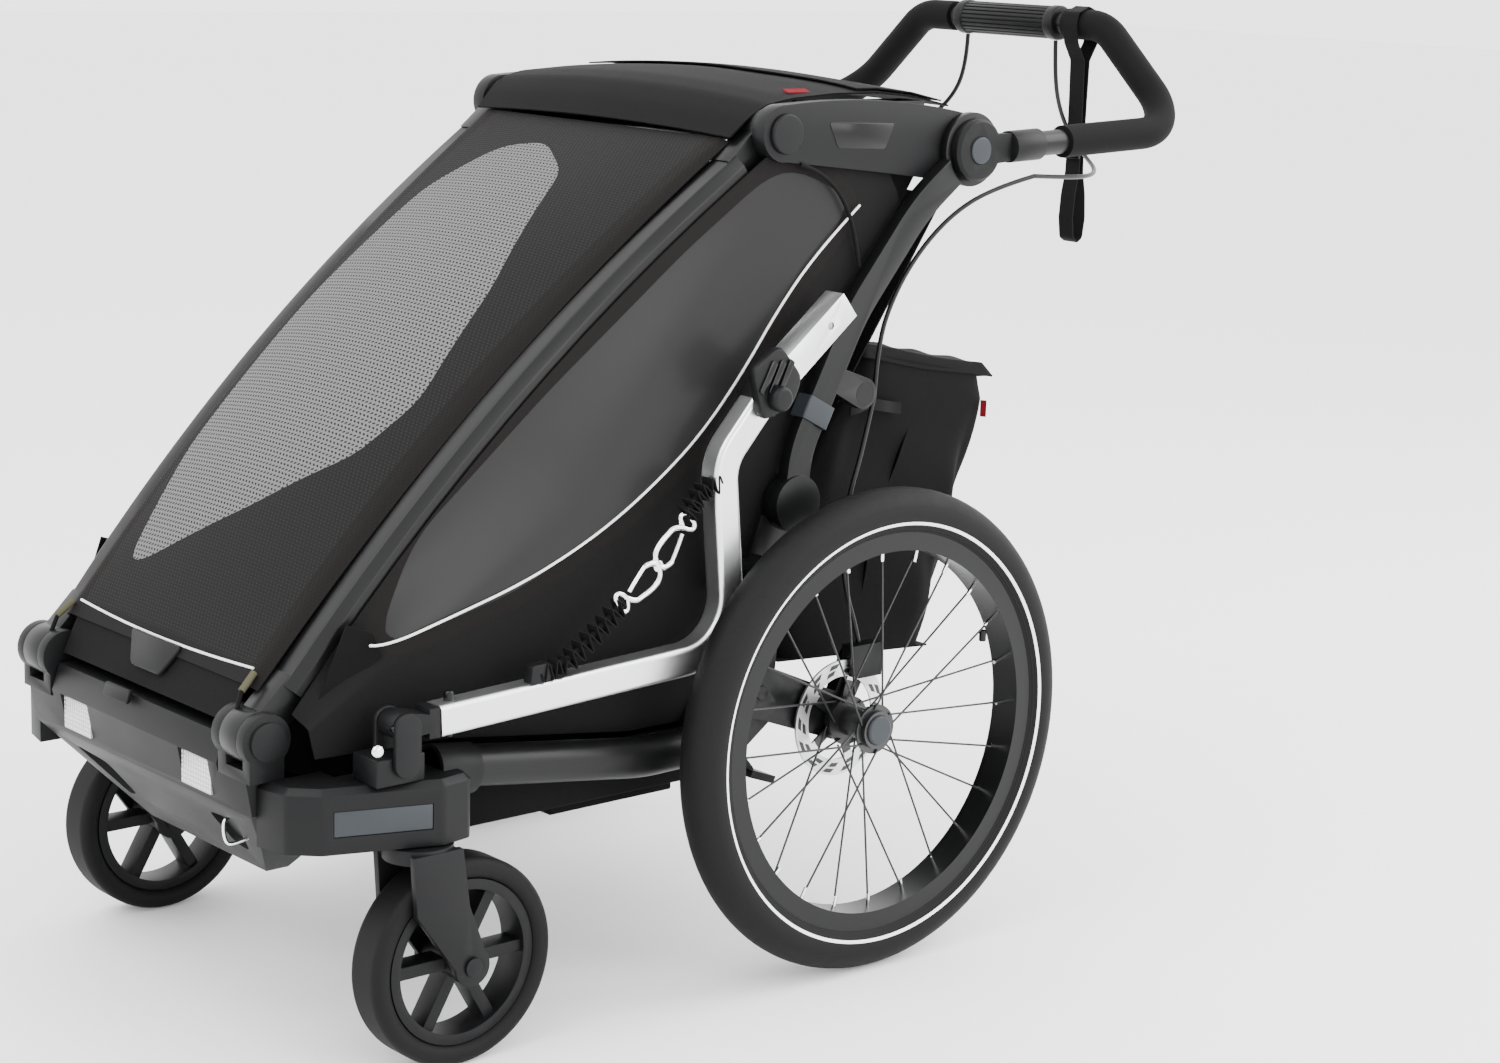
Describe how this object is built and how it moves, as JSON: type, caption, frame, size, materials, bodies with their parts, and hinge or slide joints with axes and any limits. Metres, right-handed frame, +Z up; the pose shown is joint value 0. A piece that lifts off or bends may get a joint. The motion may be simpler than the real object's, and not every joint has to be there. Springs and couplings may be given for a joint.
{
  "type": "child bicycle trailer",
  "caption": "Folding child trailer with large spoked rear wheels, swivelling front wheels, a push handle, a covered cabin, a cargo bag and a stowed tow arm.",
  "frame": {"origin": "point on the ground midway between the two rear wheels, under their axle", "axes": "+Z up, +Y towards the push handle (the front faces -Y), +X towards the side that carries the tow arm"},
  "size_m": [0.678, 1.174, 0.9645],
  "materials": {
    "frame_black": "satin black powder coat on aluminium",
    "plastic_black": "fine grained black",
    "plastic_grey": "blue-grey touch points",
    "tyre_black": "matt black rubber with a pale side stripe",
    "caster_rubber": "matt dark grey",
    "rim_black": "satin black anodised",
    "spoke_dark": "dark steel",
    "steel_bright": "brushed",
    "arm_silver": "satin anodised",
    "reflector": "prismatic, clear",
    "foam_black": "closed-cell foam",
    "webbing_black": "woven webbing",
    "cable_black": "smooth cable sleeve",
    "fabric_black": "coated woven fabric"
  },
  "bodies": {
    "frame": {"base_side_tubes": "frame_black", "base_cross_tubes": "frame_black", "rear_frame_brackets": "frame_black", "floor_tray": "fabric_black", "front_shield": "plastic_black", "front_reflectors": "reflector", "caster_wing_left": "plastic_black", "caster_wing_right": "plastic_black", "front_pivot_hubs": "plastic_black", "hitch_receiver": "plastic_black", "seat_base": "fabric_black", "seat_back": "fabric_black", "cargo_bag": "fabric_black", "side_panels": "fabric_black", "brake_cables": "cable_black"},
    "uprights": {"upright_left": "frame_black", "upright_right": "frame_black", "rear_cross_bar": "frame_black", "rear_panel": "fabric_black"},
    "front_frame": {"front_tube_left": "frame_black", "front_tube_right": "frame_black", "front_top_bar": "frame_black", "front_cover": "fabric_black"},
    "top_link": {"top_link_left": "plastic_black", "top_link_right": "plastic_black", "roof_panel": "fabric_black"},
    "handle": {"handlebar": "frame_black", "foam_grips": "foam_black", "handle_hubs": "plastic_black", "wrist_strap": "webbing_black"},
    "grip": {"brake_grip": "plastic_grey"},
    "tow_arm": {"hitch_arm": "arm_silver", "hitch_arm_ends": "plastic_black", "safety_straps": "webbing_black"},
    "tow_tip": {"hitch_tip": "arm_silver"},
    "pedal": {"brake_pedal": "plastic_black"},
    "hub_button_left": {"hub_button_left": "plastic_grey"},
    "latch_left": {"latch_collar_left": "plastic_grey"},
    "swing_arm_left": {"swing_arm_left": "frame_black"},
    "rear_wheel_left": {"rear_tyre_left": "tyre_black", "rear_rim_left": "rim_black", "rear_spokes_left": "spoke_dark", "rear_hub_left": "steel_bright"},
    "axle_button_left": {"axle_button_left": "plastic_grey"},
    "caster_left": {"caster_fork_left": "plastic_black"},
    "caster_wheel_left": {"caster_tyre_left": "caster_rubber", "caster_rim_left": "plastic_black"},
    "release_left": {"caster_release_left": "plastic_grey"},
    "hub_button_right": {"hub_button_right": "plastic_grey"},
    "latch_right": {"latch_collar_right": "plastic_grey"},
    "swing_arm_right": {"swing_arm_right": "frame_black"},
    "rear_wheel_right": {"rear_tyre_right": "tyre_black", "rear_rim_right": "rim_black", "rear_spokes_right": "spoke_dark", "rear_hub_right": "steel_bright"},
    "axle_button_right": {"axle_button_right": "plastic_grey"},
    "caster_right": {"caster_fork_right": "plastic_black"},
    "caster_wheel_right": {"caster_tyre_right": "caster_rubber", "caster_rim_right": "plastic_black"},
    "release_right": {"caster_release_right": "plastic_grey"}
  },
  "joints": [
    {"name": "frame_fold", "type": "hinge", "parent": "frame", "child": "uprights", "pos_m": [0, -0.066, 0.481], "axis": [-1, 0, 0], "range_deg": [0, 44.9], "deforming": ["side_panels", "seat_back", "cargo_bag", "brake_cables"]},
    {"name": "link_turn", "type": "hinge", "parent": "uprights", "child": "top_link", "pos_m": [0, 0.167, 0.826], "axis": [-1, 0, 0], "range_deg": [-56.5, 0]},
    {"name": "front_turn", "type": "hinge", "parent": "frame", "child": "front_frame", "pos_m": [0, -0.654, 0.321], "axis": [-1, 0, 0], "range_deg": [0, 27.5]},
    {"name": "handle_tilt", "type": "hinge", "parent": "top_link", "child": "handle", "pos_m": [0, 0.167, 0.826], "axis": [1, 0, 0], "range_deg": [-40, 60]},
    {"name": "grip_twist", "type": "hinge", "parent": "handle", "child": "grip", "pos_m": [0, 0.474, 0.945], "axis": [1, 0, 0], "range_deg": [0, 35]},
    {"name": "arm_swing", "type": "hinge", "parent": "frame", "child": "tow_arm", "pos_m": [0.2735, -0.556, 0.336], "axis": [1, 0, 0], "range_deg": [0, 150]},
    {"name": "tip_fold", "type": "hinge", "parent": "tow_arm", "child": "tow_tip", "pos_m": [0.2735, -0.124, 0.608], "axis": [1, 0, 0], "range_deg": [0, 80]},
    {"name": "pedal_press", "type": "hinge", "parent": "frame", "child": "pedal", "pos_m": [0.185, -0.092, 0.222], "axis": [-1, 0, 0], "range_deg": [0, 20], "stiffness_Nm_per_rad": 0.6, "springref_deg": -11.46},
    {"name": "hub_button_press_left", "type": "slide", "parent": "handle", "child": "hub_button_left", "axis": [-1, 0, 0], "range_m": [0, 0.003], "stiffness_N_per_m": 400, "springref_m": -0.001},
    {"name": "latch_slide_left", "type": "slide", "parent": "uprights", "child": "latch_left", "axis": [0, 0.4603, 0.8878], "range_m": [0, 0.012], "stiffness_N_per_m": 200, "springref_m": -0.003},
    {"name": "suspension_left", "type": "hinge", "parent": "frame", "child": "swing_arm_left", "pos_m": [0.25, -0.108, 0.293], "axis": [1, 0, 0], "range_deg": [0, 8], "stiffness_Nm_per_rad": 120, "springref_deg": -4.01},
    {"name": "wheel_spin_left", "type": "hinge", "parent": "swing_arm_left", "child": "rear_wheel_left", "pos_m": [0.314, 0, 0.25], "axis": [1, 0, 0], "continuous": true},
    {"name": "axle_button_press_left", "type": "slide", "parent": "rear_wheel_left", "child": "axle_button_left", "axis": [-1, 0, 0], "range_m": [0, 0.003], "stiffness_N_per_m": 400, "springref_m": -0.001},
    {"name": "caster_swivel_left", "type": "hinge", "parent": "frame", "child": "caster_left", "pos_m": [0.27, -0.53, 0.22], "axis": [0, 0, 1], "continuous": true},
    {"name": "caster_spin_left", "type": "hinge", "parent": "caster_left", "child": "caster_wheel_left", "pos_m": [0.27, -0.491, 0.1], "axis": [1, 0, 0], "continuous": true},
    {"name": "release_press_left", "type": "slide", "parent": "frame", "child": "release_left", "axis": [-0.9487, 0.3162, 0], "range_m": [0, 0.004], "stiffness_N_per_m": 400, "springref_m": -0.001},
    {"name": "hub_button_press_right", "type": "slide", "parent": "handle", "child": "hub_button_right", "axis": [1, 0, 0], "range_m": [0, 0.003], "stiffness_N_per_m": 400, "springref_m": -0.001},
    {"name": "latch_slide_right", "type": "slide", "parent": "uprights", "child": "latch_right", "axis": [0, 0.4603, 0.8878], "range_m": [0, 0.012], "stiffness_N_per_m": 200, "springref_m": -0.003},
    {"name": "suspension_right", "type": "hinge", "parent": "frame", "child": "swing_arm_right", "pos_m": [-0.25, -0.108, 0.293], "axis": [1, 0, 0], "range_deg": [0, 8], "stiffness_Nm_per_rad": 120, "springref_deg": -4.01},
    {"name": "wheel_spin_right", "type": "hinge", "parent": "swing_arm_right", "child": "rear_wheel_right", "pos_m": [-0.314, 0, 0.25], "axis": [1, 0, 0], "continuous": true},
    {"name": "axle_button_press_right", "type": "slide", "parent": "rear_wheel_right", "child": "axle_button_right", "axis": [1, 0, 0], "range_m": [0, 0.003], "stiffness_N_per_m": 400, "springref_m": -0.001},
    {"name": "caster_swivel_right", "type": "hinge", "parent": "frame", "child": "caster_right", "pos_m": [-0.27, -0.53, 0.22], "axis": [0, 0, 1], "continuous": true},
    {"name": "caster_spin_right", "type": "hinge", "parent": "caster_right", "child": "caster_wheel_right", "pos_m": [-0.27, -0.491, 0.1], "axis": [1, 0, 0], "continuous": true},
    {"name": "release_press_right", "type": "slide", "parent": "frame", "child": "release_right", "axis": [0.9487, 0.3162, 0], "range_m": [0, 0.004], "stiffness_N_per_m": 400, "springref_m": -0.001}
  ],
  "couplings": [
    {"joint": "link_turn", "follows": "frame_fold", "ratio": -1.243},
    {"joint": "front_turn", "follows": "frame_fold", "ratio": 0.595}
  ]
}
